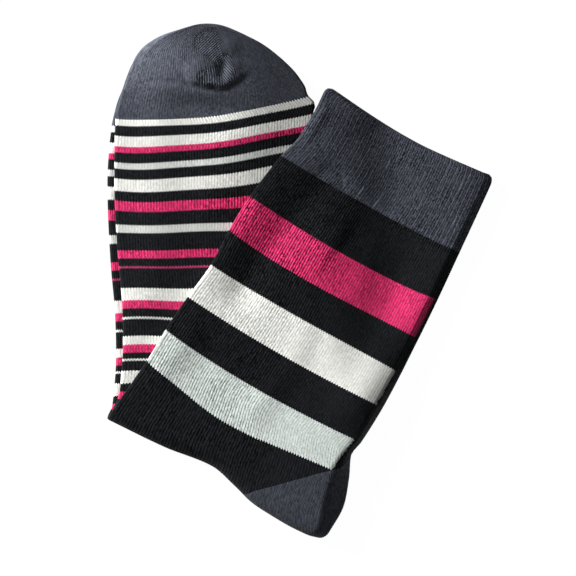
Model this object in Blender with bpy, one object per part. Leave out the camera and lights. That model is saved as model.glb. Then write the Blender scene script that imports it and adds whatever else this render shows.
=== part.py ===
"""A pair of knitted crew socks, laid in profile, stacked and folded together over the ankle.

Metres, +Z up. The origin is the middle of the pair's footprint, on the surface it lies on. The toes
point along +Y, and the legs are folded back over the feet, towards +X and +Y.

Each sock is a flattened knitted tube. A point of its middle surface has two knit coordinates: "along",
the millimetres of knitting from the cuff's rim, and "across", from the front edge (0) to the back
edge (1). Rows of the tables below give the two ends of one course of stitches, in plan.
"""

import math
from collections import namedtuple

import bpy
from mathutils import Vector

# Cloth, in millimetres.
WALL = 1.0  # one knitted wall
SLIT = 0.3  # between the two walls of an open cuff
GAP = 0.3  # between neighbouring pieces of a sock
GORE_GAP = 0.4  # the same gap at a gore line, which crosses the courses at about 45 degrees
TUBE = 2 * WALL + SLIT
HALF_TUBE = TUBE / 2
LAYER_GAP = 0.4  # between stacked layers
PITCH = TUBE + LAYER_GAP

# The fold over the ankle. Its line runs from the front corner to the tip of the heel.
FOLD_START = Vector((-87.6, -62.6))
FOLD_END = Vector((10.0, -117.3))
FOLD_HEIGHT = 2 * PITCH - LAYER_GAP / 2  # middle of the four stacked tubes
OUTER_RADIUS = FOLD_HEIGHT - HALF_TUBE
FOLD_REACH = 30.0  # how far the fold's own outline shows in the courses beside it
ALONG_FOLD = (FOLD_END - FOLD_START).normalized()
OUT_OF_FOLD = Vector((ALONG_FOLD.y, -ALONG_FOLD.x))

# Middle of the pair's footprint, in the plan of the tables.
ORIGIN = Vector((-0.246, -0.161, 0))

# Where the knitting changes, in millimetres along the sock.
CUFF_END = 37.3
FOLD_BEGINS = 173.4
TOE_BEGINS = 314.4
TOE_TIP = 356.5
HEEL_BEGINS = 141.0  # on the back edge
HEEL_POINT = 179.6  # on the sides, half way between the heel's two ends
HEEL_ENDS = 218.0
HEEL_SHORTEST = 1.6  # the heel's first and last course lie this far inside its ends
CUFF_CORNER = 3.4  # radius of the cuff's corners

# The outer leg's steep back side covers the edges of the layers below it.
SIDE_CLEAR = 2.4  # between the steep side's ridge and the inner leg's edge
SIDE_LEAST, SIDE_FULL = 1.5, 4.0  # widths at which the side starts to drop, and drops all the way
SIDE_FOOT = 1.3  # height of its lower edge
SIDE_SOFTNESS = 0.3  # roundness of the ridge, as a share of the side's width
RISE_BEGINS = 160.0  # its lower edge rises from here to the fold
HEEL_CLOSING, HEEL_NARROWING = 0.5, 0.25  # how much lower and shallower the fold is at the heel's tip

# Leg of the outer sock, rim to ankle: ends of a course at the front and back edge, how far the course
# bows towards the ankle and where, and the width of the steep back side.
Course = namedtuple("Course", "along front back bow bow_at side")
LEG = (
    Course(0.0, (11.9, 88.3), (88.6, 46.9), 2.9, 0.42, 1.2),
    Course(10.0, (7.7, 79.2), (84.1, 37.0), 1.9, 0.45, 1.2),
    Course(20.0, (2.7, 70.4), (79.9, 27.9), 1.5, 0.48, 1.2),
    Course(27.5, (-1.6, 63.8), (76.8, 21.2), 1.2, 0.50, 1.2),
    Course(37.3, (-8.7, 56.7), (72.8, 12.6), 1.4, 0.55, 1.2),
    Course(61.6, (-23.0, 38.0), (62.8, -8.9), 2.8, 0.58, 1.3),
    Course(79.6, (-32.1, 23.2), (54.2, -26.5), 2.4, 0.40, 1.6),
    Course(95.8, (-40.2, 7.7), (46.2, -42.1), 1.0, 0.35, 2.8),
    Course(115.2, (-51.3, -7.7), (37.3, -58.4), 1.8, 0.48, 3.6),
    Course(133.8, (-61.0, -22.1), (27.7, -73.6), 2.6, 0.45, 3.5),
    Course(141.0, (-64.3, -27.7), (23.2, -79.2), 3.3, 0.42, 3.4),
    Course(153.2, (-70.1, -37.1), (22.3, -90.9), 4.2, 0.38, 8.9),
    Course(163.5, (-78.0, -48.5), (20.2, -102.5), 2.6, 0.40, 8.6),
    Course(173.4, (-84.9, -58.3), (14.2, -112.9), 0.0, 0.50, 6.0),
)
# Foot of the inner sock, ankle to toe tip. The outer sock's foot has the same shape.
FOOT = (
    Course(190.0, (-82.6, -51.7), (10.0, -92.7), 0.0, 0.50, 0.0),
    Course(200.0, (-81.5, -41.7), (12.3, -72.6), 0.0, 0.50, 0.0),
    Course(212.0, (-80.8, -29.8), (12.8, -52.1), 0.0, 0.50, 0.0),
    Course(232.0, (-81.3, -8.9), (9.1, -16.2), 0.0, 0.50, 0.0),
    Course(253.4, (-83.2, 12.3), (6.8, 13.0), 0.0, 0.50, 0.0),
    Course(276.1, (-84.5, 35.0), (6.4, 41.2), -2.5, 0.45, 0.0),
    Course(292.8, (-84.7, 51.9), (6.4, 61.6), -3.3, 0.43, 0.0),
    Course(307.4, (-84.5, 66.7), (6.1, 76.6), -3.6, 0.45, 0.0),
    Course(314.4, (-84.2, 74.0), (3.9, 84.2), -4.0, 0.48, 0.0),
    Course(322.0, (-82.0, 84.0), (2.3, 88.6), -3.2, 0.46, 0.0),
    Course(328.5, (-79.5, 90.4), (0.0, 92.2), -1.8, 0.48, 0.0),
    Course(334.5, (-77.4, 96.5), (-3.2, 96.3), -0.6, 0.50, 0.0),
    Course(340.5, (-74.6, 102.7), (-9.1, 101.9), 0.4, 0.50, 0.0),
    Course(346.5, (-69.9, 107.9), (-16.8, 107.8), 1.0, 0.50, 0.0),
    Course(351.5, (-62.3, 112.2), (-24.7, 112.0), 1.4, 0.50, 0.0),
    Course(354.5, (-54.0, 114.9), (-31.3, 115.0), 1.2, 0.50, 0.0),
    Course(356.5, (-49.5, 116.3), (-34.8, 116.3), 1.0, 0.50, 0.0),
)

# Gore line of the heel pocket: how far from the pocket's first course to its middle, and the share of
# the width that the pocket takes there. It ends square, at the fold.
GorePoint = namedtuple("GorePoint", "into share")
GORE = (
    GorePoint(0.0, 0.0),
    GorePoint(0.32, 0.091),
    GorePoint(0.58, 0.225),
    GorePoint((FOLD_BEGINS - HEEL_BEGINS) / (HEEL_POINT - HEEL_BEGINS), 0.328),
)

# Outline of the fold: millimetres along its line, and how far it stands out of that line.
FoldPoint = namedtuple("FoldPoint", "at out")
FOLD_OUTLINE = (
    FoldPoint(0.0, 0.0),
    FoldPoint(28.6, -1.4),
    FoldPoint(52.3, -4.2),
    FoldPoint(66.0, -1.2),
    FoldPoint(76.0, 1.6),
    FoldPoint(86.0, 2.5),
    FoldPoint(98.0, 2.8),
    FoldPoint(112.0, 1.8),
)

# Back edge of the inner foot: past it, the legs leave the stack and sink to the surface.
SolePoint = namedtuple("SolePoint", "y x")
SOLE = (
    SolePoint(-117.0, 9.0),
    SolePoint(-92.0, 13.0),
    SolePoint(-55.0, 13.5),
    SolePoint(-12.0, 9.0),
    SolePoint(40.0, 6.5),
    SolePoint(80.0, 6.0),
    SolePoint(100.0, 0.0),
)
SINK_BEGINS = 1.5
SINK_WIDTH = 38.0
SINK_DEPTH = 2 * PITCH
SINK_FADES = 20.0  # along the leg, before the fold

# The inner sock's leg stands out of the outer one's cuff, so the outer foot lies further back. Its cuff
# also bows in another place.
Sock = namedtuple(
    "Sock", "name radius cuff_step cuff_sag foot_step fold_front fold_back leg_inset has_side"
)
SOCKS = (
    Sock(
        name="outer",
        radius=OUTER_RADIUS,
        cuff_step=Vector((0, 0)),
        cuff_sag=0.0,
        foot_step=Vector((-3.3, -5.9)),
        fold_front=Vector((-86.4, -58.9)),
        fold_back=Vector((10.5, -111.8)),
        leg_inset=0.0,
        has_side=True,
    ),
    Sock(
        name="inner",
        radius=OUTER_RADIUS - PITCH,
        cuff_step=Vector((0.25, 0.4)),
        cuff_sag=0.13,
        foot_step=Vector((0, 0)),
        fold_front=Vector((-85.4, -58.4)),
        fold_back=Vector((7.2, -110.2)),
        leg_inset=0.6,
        has_side=False,
    ),
)

Finish = namedtuple("Finish", "name color roughness")
STRIPED = Finish("striped_knit", (0.008, 0.009, 0.011), 0.9)
CHARCOAL = Finish("charcoal_knit", (0.055, 0.060, 0.075), 0.95)
RIB = Finish("charcoal_rib", (0.060, 0.066, 0.082), 0.95)

# Edges of a section, from its middle to the face of the upper wall. The two walls of a pressed tube
# share one solid, and a groove between their rounded edges runs along it. A seam edge is square.
EdgePoint = namedtuple("EdgePoint", "inward height")
FOLDED = (
    EdgePoint(0.55, 0),
    EdgePoint(0.05, 0.35),
    EdgePoint(0.05, 0.85),
    EdgePoint(0.55, HALF_TUBE),
)
SEAM = (EdgePoint(0, 0), EdgePoint(0, 0.35), EdgePoint(0, 0.85), EdgePoint(0, HALF_TUBE))
RIM_OUTSIDE = (EdgePoint(0, 0), EdgePoint(0.34, 0.81), EdgePoint(HALF_TUBE, HALF_TUBE))
RIM_INSIDE = (
    EdgePoint(WALL, 0),
    EdgePoint(WALL + SLIT * 0.15, SLIT * 0.35),
    EdgePoint(HALF_TUBE, SLIT / 2),
)
COLUMNS = 14
HEEL_COLUMNS = 7
SIDE_COLUMNS = 3
LEG_ROWS = 10
HEEL_ROWS = 3
FOOT_ROWS = 6
CUFF_ROWS = (0.0, 0.7, 1.9, 3.8, 14.0, 25.0)
TOE_ROWS = (323.0, 332.0, 340.0, 347.0, 352.5)


def smooth(x):
    """0 up to 0, 1 from 1 on, and a soft step between."""
    x = min(max(x, 0.0), 1.0)
    return x * x * (3 - 2 * x)


def through(knots, at):
    """The value at a place on a smooth curve through (place, value) knots, in order of place."""
    last = len(knots) - 1
    i = next((n for n in range(1, last) if at < knots[n][0]), last)
    (x0, a), (x1, b) = knots[i - 1], knots[i]
    before = knots[i - 2] if i > 1 else knots[i - 1]
    after = knots[i + 1] if i < last else knots[i]
    leaving = (b - before[1]) * ((x1 - x0) / (x1 - before[0]))
    arriving = (after[1] - a) * ((x1 - x0) / (after[0] - x0))
    u = (at - x0) / (x1 - x0)
    return (
        a * (1 + 2 * u) * (1 - u) ** 2
        + leaving * u * (1 - u) ** 2
        + b * u * u * (3 - 2 * u)
        + arriving * u * u * (u - 1)
    )


def course_at(courses, along):
    """The course at a place between the tabulated ones."""
    front = through([(c.along, Vector(c.front)) for c in courses], along)
    back = through([(c.along, Vector(c.back)) for c in courses], along)
    bow, bow_at, side = (
        through([(c.along, value(c)) for c in courses], along)
        for value in (lambda c: c.bow, lambda c: c.bow_at, lambda c: c.side)
    )
    return Course(along, front, back, bow, bow_at, side)


def steepness(side):
    """How much of the way down a back side of this width goes."""
    return smooth((side - SIDE_LEAST) / (SIDE_FULL - SIDE_LEAST))


def leg_course(sock, along):
    c = course_at(LEG, along)
    near_rim = 1 - smooth(along / FOLD_BEGINS)
    step = sock.cuff_step * near_rim
    row = (c.back - c.front).normalized()
    past_corner = 1 - min(max(along, 0.0) / CUFF_CORNER, 1.0)
    corner = CUFF_CORNER * (1 - math.sqrt(1 - past_corner**2)) * 0.6
    under_side = 0 if sock.has_side else (c.side + SIDE_CLEAR) * steepness(c.side)
    front = c.front + step + row * (sock.leg_inset + corner)
    back = c.back + step - row * (sock.leg_inset + under_side + corner)
    return c._replace(front=front, back=back, bow_at=c.bow_at + sock.cuff_sag * near_rim)


def foot_course(sock, along):
    fold_ends = FOLD_BEGINS + math.pi * sock.radius
    start = Course(fold_ends, sock.fold_front, sock.fold_back, 0.0, 0.50, 0.0)
    moved = [
        c._replace(front=Vector(c.front) + sock.foot_step, back=Vector(c.back) + sock.foot_step)
        for c in FOOT
    ]
    return course_at([start] + moved, along)


def fold_course(sock, turned):
    """The course at the fold, whose ends move from the leg's to the foot's as the cloth turns."""
    above = leg_course(sock, FOLD_BEGINS)
    share = (1 - math.cos(turned)) / 2
    front = above.front.lerp(sock.fold_front, share)
    back = above.back.lerp(sock.fold_back, share)
    return above._replace(front=front, back=back)


def course_of(sock, along):
    turned = (along - FOLD_BEGINS) / sock.radius
    if turned <= 0:
        return leg_course(sock, along)
    if turned < math.pi:
        return fold_course(sock, turned)
    return foot_course(sock, along)


def width_at(sock, along):
    course = course_of(sock, along)
    return (course.back - course.front).length


def on_course(course, across):
    """The point of a course in plan, bowed towards the sock's toe end."""
    row = course.back - course.front
    to_toe = Vector((row.y, -row.x)).normalized()
    if course.along > FOLD_BEGINS + 1:
        to_toe = -to_toe
    rise, fall = 2 * course.bow_at, 2 * (1 - course.bow_at)
    inside = min(max(across, 0.0), 1.0)
    bump = (inside / course.bow_at) ** rise * ((1 - inside) / (1 - course.bow_at)) ** fall
    return course.front + row * across + to_toe * course.bow * bump


def shaped_by_fold(point, along):
    """A point near the fold, moved so that its course follows the fold's outline."""
    at = min(max((point - FOLD_START).dot(ALONG_FOLD), 0.0), FOLD_OUTLINE[-1].at)
    out = through([(p.at, p.out) for p in FOLD_OUTLINE], at)
    distance = max(FOLD_BEGINS - along, along - FOLD_BEGINS - math.pi * OUTER_RADIUS, 0.0)
    return point + OUT_OF_FOLD * out * (1 - smooth(distance / FOLD_REACH))


def leg_height(sock, plan, along):
    """Height of the leg's middle surface, which sinks past the feet and keeps its distance there."""
    sole = through([(p.y, p.x) for p in SOLE], min(max(plan.y, SOLE[0].y), SOLE[-1].y))
    u = min(max((plan.x - sole - SINK_BEGINS) / SINK_WIDTH, 0.0), 1.0)
    fading = smooth((FOLD_BEGINS - along) / SINK_FADES)
    slope = SINK_DEPTH * fading / SINK_WIDTH * 6 * u * (1 - u)
    below_outer = (OUTER_RADIUS - sock.radius) * math.hypot(1, slope)
    return FOLD_HEIGHT + OUTER_RADIUS - SINK_DEPTH * fading * smooth(u) - below_outer


def side_fall(sock, course, across):
    """How far down the steep back side a place is, from 0 at its ridge to 1 at its lower edge."""
    if not sock.has_side or course.side <= SIDE_LEAST:
        return 0.0
    width = (course.back - course.front).length
    past_ridge = max(1 - (1 - across) * width / course.side, 0.0)
    rounded = math.hypot(past_ridge, SIDE_SOFTNESS) - SIDE_SOFTNESS
    return rounded / (math.hypot(1, SIDE_SOFTNESS) - SIDE_SOFTNESS) * steepness(course.side)


def middle(sock, along, across):
    """The point of the tube's middle surface, in three dimensions."""
    turned = (along - FOLD_BEGINS) / sock.radius
    course = course_of(sock, along)
    plan = shaped_by_fold(on_course(course, across), along)
    if turned >= math.pi:
        return Vector((plan.x, plan.y, FOLD_HEIGHT - sock.radius))
    fall = side_fall(sock, course, across)
    bottom = FOLD_HEIGHT - sock.radius
    if turned <= 0:
        height = leg_height(sock, plan, along)
        fold_edge = bottom + 2 * sock.radius * (1 - HEEL_CLOSING)
        rising = smooth((along - RISE_BEGINS) / (FOLD_BEGINS - RISE_BEGINS))
        lower_edge = SIDE_FOOT + (fold_edge - SIDE_FOOT) * rising
        height -= (height - lower_edge) * fall
    else:
        high = sock.radius * (1 - HEEL_CLOSING * fall)
        deep = sock.radius * (1 - HEEL_NARROWING * fall)
        plan += OUT_OF_FOLD * deep * math.sin(turned)
        height = bottom + high * (1 + math.cos(turned))
    return Vector((plan.x, plan.y, height))


def normal(sock, along, across):
    """The middle surface's normal, up on the leg and down on the foot."""
    step = 0.05
    down_the_sock = middle(sock, along + step, across) - middle(sock, along - step, across)
    over = min(max(across, 0.001), 0.999)
    along_row = middle(sock, along, over + 0.001) - middle(sock, along, over - 0.001)
    return along_row.cross(-down_the_sock).normalized()


def in_space(sock, along, behind, height):
    """A point a given distance behind the front edge and above or below the middle surface."""
    across = behind / width_at(sock, along)
    return middle(sock, along, across) + normal(sock, along, across) * height - ORIGIN


def heel_edge(along):
    """The share of the width in front of the heel pocket, which lies between two gore lines."""
    if along < HEEL_POINT:
        into = (along - HEEL_BEGINS) / (HEEL_POINT - HEEL_BEGINS)
    else:
        into = (HEEL_ENDS - along) / (HEEL_ENDS - HEEL_POINT)
    return 1 - through([(p.into, p.share) for p in GORE], min(max(into, 0.0), GORE[-1].into))


def stations(start, end, count):
    return [start + (end - start) * n / count for n in range(count + 1)]


def heel_rows(sock):
    """Courses of the heel block, with one every 30 degrees round the fold."""
    fold = [FOLD_BEGINS + sock.radius * math.radians(30 * n) for n in range(7)]
    above = stations(HEEL_BEGINS + HEEL_SHORTEST, fold[0], HEEL_ROWS)
    below = stations(fold[-1], HEEL_ENDS - HEEL_SHORTEST, HEEL_ROWS)
    return above[:-1] + fold + below[1:]


def section(front, back, front_edge, back_edge, columns, side=0.0):
    """(distance behind the front edge, height) round a tube, up the front edge and over the top."""
    start, end = front + front_edge[-1].inward, back - back_edge[-1].inward
    ridge = end - min(max(side, SIDE_FULL), 0.5 * (end - start))
    flat = columns - SIDE_COLUMNS
    top = [start + (ridge - start) * n / flat for n in range(1, flat)]
    top += [ridge + (end - ridge) * n / SIDE_COLUMNS for n in range(SIDE_COLUMNS)]
    upper = [(front + p.inward, p.height) for p in front_edge]
    upper += [(behind, front_edge[-1].height) for behind in top]
    upper += [(back - p.inward, p.height) for p in reversed(back_edge)]
    return upper + [(behind, -height) for behind, height in reversed(upper[1:-1])]


def piece_of(name, points, faces, finish):
    mesh = bpy.data.meshes.new(name)
    mesh.from_pydata([p / 1000 for p in points], [], faces)
    mesh.shade_smooth()
    mesh.set_sharp_from_angle(angle=math.radians(50))
    piece = bpy.data.objects.new(name, mesh)
    bpy.context.scene.collection.objects.link(piece)
    material = bpy.data.materials.get(finish.name) or bpy.data.materials.new(finish.name)
    material.use_nodes = True
    shader = material.node_tree.nodes["Principled BSDF"]
    shader.inputs["Base Color"].default_value = (*finish.color, 1)
    shader.inputs["Roughness"].default_value = finish.roughness
    shader.inputs["Metallic"].default_value = 0
    mesh.materials.append(material)


def bands(first, rows, places):
    """Triangles between neighbouring rows of a grid that closes round the tube, split along the sink."""
    faces = []
    for i in range(rows - 1):
        for j in range(places):
            a, b = first + i * places + j, first + i * places + (j + 1) % places
            if j < places // 2:
                faces += [(a, a + places, b + places), (a, b + places, b)]
            else:
                faces += [(a, a + places, b), (a + places, b + places, b)]
    return faces


def pressed_tube(name, sock, sections, finish):
    """A flattened tube whose two walls share one solid. sections lists (along, its points)."""
    points = [
        in_space(sock, along, behind, height)
        for along, places in sections
        for behind, height in places
    ]
    places = len(sections[0][1])
    faces = bands(0, len(sections), places)
    last_row = places * (len(sections) - 1)
    for k in range(places // 2):
        corners = (k, k + 1, (-k - 1) % places, -k % places)
        end = [n for i, n in enumerate(corners) if n not in corners[:i]]
        faces.append(tuple(end))
        faces.append(tuple(last_row + n for n in reversed(end)))
    piece_of(name, points, faces, finish)


def open_tube(name, sock, outside, inside, finish):
    """A flattened tube with a slit between its walls, whose two surfaces meet at its rims."""
    points = [
        in_space(sock, along, behind, height)
        for along, places in outside + inside
        for behind, height in places
    ]
    places = len(outside[0][1])
    inner = len(outside) * places
    faces = bands(0, len(outside), places)
    faces += [face[::-1] for face in bands(inner, len(inside), places)]
    for j in range(places):
        a, b = j, (j + 1) % places
        faces.append((a, b, b + inner, a + inner))
        a, b = a + inner - places, b + inner - places
        faces.append((b, a, a + inner, b + inner))
    piece_of(name, points, faces, finish)


def make_cuff(sock):
    outside, inside = [], []
    for along in CUFF_ROWS + (CUFF_END - GAP / 2,):
        width = width_at(sock, along)
        outside.append((along, section(0, width, RIM_OUTSIDE, RIM_OUTSIDE, COLUMNS)))
        inside.append((along, section(0, width, RIM_INSIDE, RIM_INSIDE, COLUMNS)))
    open_tube(sock.name + "_cuff", sock, outside, inside, RIB)


def make_body(sock):
    before_heel = stations(CUFF_END + GAP / 2, HEEL_BEGINS, LEG_ROWS)
    past_heel = stations(HEEL_ENDS, TOE_BEGINS - GAP / 2, FOOT_ROWS)
    sections = []
    for along in before_heel:
        side = course_of(sock, along).side
        width = width_at(sock, along)
        sections.append((along, section(0, width, FOLDED, FOLDED, COLUMNS, side)))
    for along in heel_rows(sock):
        width = width_at(sock, along)
        back = width * heel_edge(along) - GORE_GAP / 2
        side = course_of(sock, along).side - (width - back)
        sections.append((along, section(0, back, FOLDED, SEAM, COLUMNS, side)))
    for along in past_heel:
        sections.append((along, section(0, width_at(sock, along), FOLDED, FOLDED, COLUMNS)))
    pressed_tube(sock.name + "_body", sock, sections, STRIPED)


def make_heel(sock):
    sections = []
    for along in heel_rows(sock):
        front = width_at(sock, along) * heel_edge(along) + GORE_GAP / 2
        side = course_of(sock, along).side
        places = section(front, width_at(sock, along), SEAM, FOLDED, HEEL_COLUMNS, side)
        sections.append((along, places))
    pressed_tube(sock.name + "_heel", sock, sections, CHARCOAL)


def make_toe(sock):
    round_tip = TOE_TIP - HALF_TUBE
    sections = []
    for along in (TOE_BEGINS + GAP / 2,) + TOE_ROWS + (round_tip,):
        sections.append((along, section(0, width_at(sock, along), FOLDED, FOLDED, COLUMNS)))
    for degrees in (40, 75):
        along = round_tip + HALF_TUBE * math.sin(math.radians(degrees))
        flatter = math.cos(math.radians(degrees))
        places = section(0, width_at(sock, along), FOLDED, FOLDED, COLUMNS)
        sections.append((along, [(behind, height * flatter) for behind, height in places]))
    pressed_tube(sock.name + "_toe", sock, sections, CHARCOAL)


def main():
    for item in list(bpy.data.objects):
        bpy.data.objects.remove(item)
    for sock in SOCKS:
        make_cuff(sock)
        make_body(sock)
        make_heel(sock)
        make_toe(sock)


main()
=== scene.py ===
import math
from collections import namedtuple

import bpy
import numpy as np
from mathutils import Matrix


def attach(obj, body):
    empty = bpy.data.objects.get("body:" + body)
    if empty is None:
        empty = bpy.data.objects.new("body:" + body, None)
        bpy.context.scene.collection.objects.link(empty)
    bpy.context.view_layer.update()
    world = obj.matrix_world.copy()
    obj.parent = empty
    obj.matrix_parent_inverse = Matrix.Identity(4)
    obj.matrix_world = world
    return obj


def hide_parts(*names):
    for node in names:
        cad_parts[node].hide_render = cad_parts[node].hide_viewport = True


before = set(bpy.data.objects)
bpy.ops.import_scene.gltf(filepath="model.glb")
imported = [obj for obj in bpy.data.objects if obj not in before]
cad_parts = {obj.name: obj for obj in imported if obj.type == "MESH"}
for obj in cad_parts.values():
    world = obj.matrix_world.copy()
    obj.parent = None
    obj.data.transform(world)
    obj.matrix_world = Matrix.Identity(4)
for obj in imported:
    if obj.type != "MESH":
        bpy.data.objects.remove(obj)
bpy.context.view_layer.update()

# Lengths are in millimetres, in a plan seen from above in which the frame's origin lies here.
ORIGIN = np.array((-0.246, -0.161, 0.0))

# Two feet and two legs are four pressed tubes, folded over together along one line: half of a tube, the
# way from one to the next, the height of the fold's middle, the outer sock's radius and the fold's reach.
HALF_TUBE = 1.15
PITCH = 2.7
LAYER_GAP = PITCH - 2 * HALF_TUBE
FOLD_HEIGHT = 2 * PITCH - LAYER_GAP / 2
OUTER_RADIUS = FOLD_HEIGHT - HALF_TUBE
FOLD_START, FOLD_END = np.array((-87.6, -62.6)), np.array((10.0, -117.3))
ALONG_FOLD = (FOLD_END - FOLD_START) / np.linalg.norm(FOLD_END - FOLD_START)
OUT_OF_FOLD = np.array((ALONG_FOLD[1], -ALONG_FOLD[0]))
FOLD_REACH = 30.0

# Where the knitting changes along the sock, from the cuff's rim, and where fewer wales come to show.
CUFF_END, FOLD_BEGINS, TOE_BEGINS, TOE_TIP = 37.3, 173.4, 314.4, 356.5
HEEL_BEGINS, HEEL_POINT, HEEL_ENDS = 141.0, 179.6, 218.0
TURN_BEGINS, TURN_ENDS = 163.0, 197.0

# The cuff's rounded corners: how long they are, and how far they draw in as a share of that.
CUFF_CORNER, CORNER_INSET = 3.4, 0.6
# The outer leg's steep back side: how far the inner leg stays clear of it, the widths where it begins and
# is wholly steep, its foot's height, its ridge's softness, and how far round the fold it ends.
SIDE_CLEAR, SIDE_LEAST, SIDE_FULL, SIDE_FOOT, SIDE_SOFTNESS = 2.4, 1.5, 4.0, 1.3, 0.3
SIDE_FADES = 12.0
# By the heel that side's foot rises, and the fold closes and narrows under it by these shares.
RISE_BEGINS, HEEL_CLOSING, HEEL_NARROWING = 160.0, 0.5, 0.25
# Past the feet's sole edge the legs sink to the surface: how far past it, over what width, how deep, and
# how long before the fold that fades out.
SINK_BEGINS, SINK_WIDTH, SINK_DEPTH, SINK_FADES = 1.5, 38.0, 2 * PITCH, 20.0
# Where and over what length the outer foot's shift gets less, sideways and lengthwise, and by what share.
SHIFT_FALLS, SHIFT_FALLS_OVER, SHIFT_LOSS = (292.0, 235.0), (30.0, 75.0), 0.5

# Wales all round the tube and on the side that shows, on the leg and on the foot; a course's height.
WALES, LEG_WALES, FOOT_WALES = 166, 83, 70
COURSE = 0.92

# Ribs: how many wales each spans, how deep the valley between two is, and how far they wander sideways;
# the power that rounds them, how uneven their valleys are, how much calm flattens them, and the still edge.
Rib = namedtuple("Rib", "wales depth wander")
PLAIN, RIBBED = Rib(1, 0.12, 0.10), Rib(2, 0.07, 0.25)
RIB_ROUND, RIB_UNEVEN, RIB_FLATTENED, RIB_EDGE = 0.8, 0.25, 0.8, 3.0
VALLEY_SEED, WANDER_SEED = 1.0, 4.0
CUFF_HALF_SLIT = 0.15

# How far apart the mesh's rows are, and its columns on the upper and the lower side, in wales. More rows
# round the toe's tip, as shares of half a tube, and the cuff's rim.
ROW, TURN_ROW, TOE_ROW, CUFF_ROW = 2.2, 1.1, 0.75, 1.2
UPPER_COLUMN, LOWER_COLUMN = 0.25, 1.0
TIP_ROWS, RIM_ROWS = (0.35, 0.65, 0.87, 0.97), [0.0, 0.25, 0.6]

# Courses in plan: the place along the sock, the ends at the front and back edges, how far it bows towards
# the toe and at which share of the width most, and the width of the steep back side.
Course = namedtuple("Course", "along front back bow bow_at side", defaults=(0.0, 0.50, 0.0))
LEG = (
    Course(0.0, (11.9, 88.3), (88.6, 46.9), 2.9, 0.42, 1.2),
    Course(10.0, (7.7, 79.2), (84.1, 37.0), 1.9, 0.45, 1.2),
    Course(20.0, (2.7, 70.4), (79.9, 27.9), 1.5, 0.48, 1.2),
    Course(27.5, (-1.6, 63.8), (76.8, 21.2), 1.2, 0.50, 1.2),
    Course(37.3, (-8.7, 56.7), (72.8, 12.6), 1.4, 0.55, 1.2),
    Course(61.6, (-23.0, 38.0), (62.8, -8.9), 2.8, 0.58, 1.3),
    Course(79.6, (-32.1, 23.2), (54.2, -26.5), 2.4, 0.40, 1.6),
    Course(95.8, (-40.2, 7.7), (46.2, -42.1), 1.0, 0.35, 2.8),
    Course(115.2, (-51.3, -7.7), (37.3, -58.4), 1.8, 0.48, 3.6),
    Course(133.8, (-61.0, -22.1), (27.7, -73.6), 2.6, 0.45, 3.5),
    Course(141.0, (-64.3, -27.7), (23.2, -79.2), 3.3, 0.42, 3.4),
    Course(153.2, (-70.1, -37.1), (22.3, -90.9), 4.2, 0.38, 9.2),
    Course(163.5, (-78.0, -48.5), (20.2, -102.5), 2.6, 0.40, 10.9),
    Course(173.4, (-84.9, -58.3), (14.2, -112.9), 0.0, 0.50, 6.4),
)
FOOT = (
    Course(190.0, (-82.6, -51.7), (10.0, -92.7)),
    Course(200.0, (-81.5, -41.7), (12.3, -72.6)),
    Course(212.0, (-80.8, -29.8), (12.8, -52.1)),
    Course(232.0, (-81.3, -8.9), (9.1, -16.2)),
    Course(253.4, (-83.2, 12.3), (6.8, 13.0)),
    Course(276.1, (-84.5, 35.0), (6.4, 41.2), -2.5, 0.45),
    Course(292.8, (-84.7, 51.9), (6.4, 61.6), -3.3, 0.43),
    Course(307.4, (-84.5, 66.7), (6.1, 76.6), -3.6, 0.45),
    Course(311.4, (-84.3, 70.9), (7.0, 80.8), -4.0, 0.47),
    Course(314.4, (-84.2, 74.0), (3.9, 84.2), -4.0, 0.48),
    Course(322.0, (-82.0, 84.0), (2.3, 88.6), -3.2, 0.46),
    Course(328.5, (-79.5, 90.4), (0.0, 92.2), -1.8, 0.48),
    Course(334.5, (-77.4, 96.5), (-3.2, 96.3), -0.6, 0.50),
    Course(340.5, (-74.6, 102.7), (-9.1, 101.9), 0.4, 0.50),
    Course(346.5, (-69.9, 107.9), (-16.8, 107.8), 1.0, 0.50),
    Course(351.5, (-62.3, 112.2), (-24.7, 112.0), 1.4, 0.50),
    Course(354.5, (-54.0, 114.9), (-31.3, 115.0), 1.2, 0.50),
    Course(356.5, (-49.5, 116.3), (-34.8, 116.3), 1.0, 0.50),
)
# The fold's outline: the distance along its straight line, and how far it stands out from it there.
FOLD_OUTLINE = (
    (0.0, 0.0), (28.6, -1.4), (52.3, -4.2), (66.0, -1.2),
    (76.0, 1.6), (86.0, 2.5), (98.0, 2.8), (112.0, 1.8),
)
# The heel pocket's gore line: the share of the way into it, and the share of the tube's width behind it.
GORE = ((0.0, 0.0), (0.22, 0.050), (0.44, 0.176), (0.60, 0.260), (0.84, 0.341), (1.0, 0.367))
# On the foot the courses run level: the place along, and how far towards the toe their middle is lifted.
LIFTS = ((150.0, 0.0), (190.0, 10.5), (200.0, 8.6), (212.0, 6.6), (232.0, 2.6), (253.4, 0.4), (276.0, 0.0))
# The end of the leg's last stripe: the share of the width, and how far towards the toe it strays there.
LAST_STRAYS = (
    (0.0, -1.0), (0.12, -1.4), (0.22, -0.9), (0.31, 0.1), (0.42, 1.0),
    (0.52, 0.6), (0.62, -0.6), (0.72, -1.4), (0.86, -1.8), (1.0, -1.8),
)
# The feet's sole edge, from the fold to the toe: its y and x.
SOLE = ((-117.0, 9.0), (-92.0, 13.0), (-55.0, 13.5), (-12.0, 9.0), (40.0, 6.5), (80.0, 6.0), (100.0, 0.0))
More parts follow.
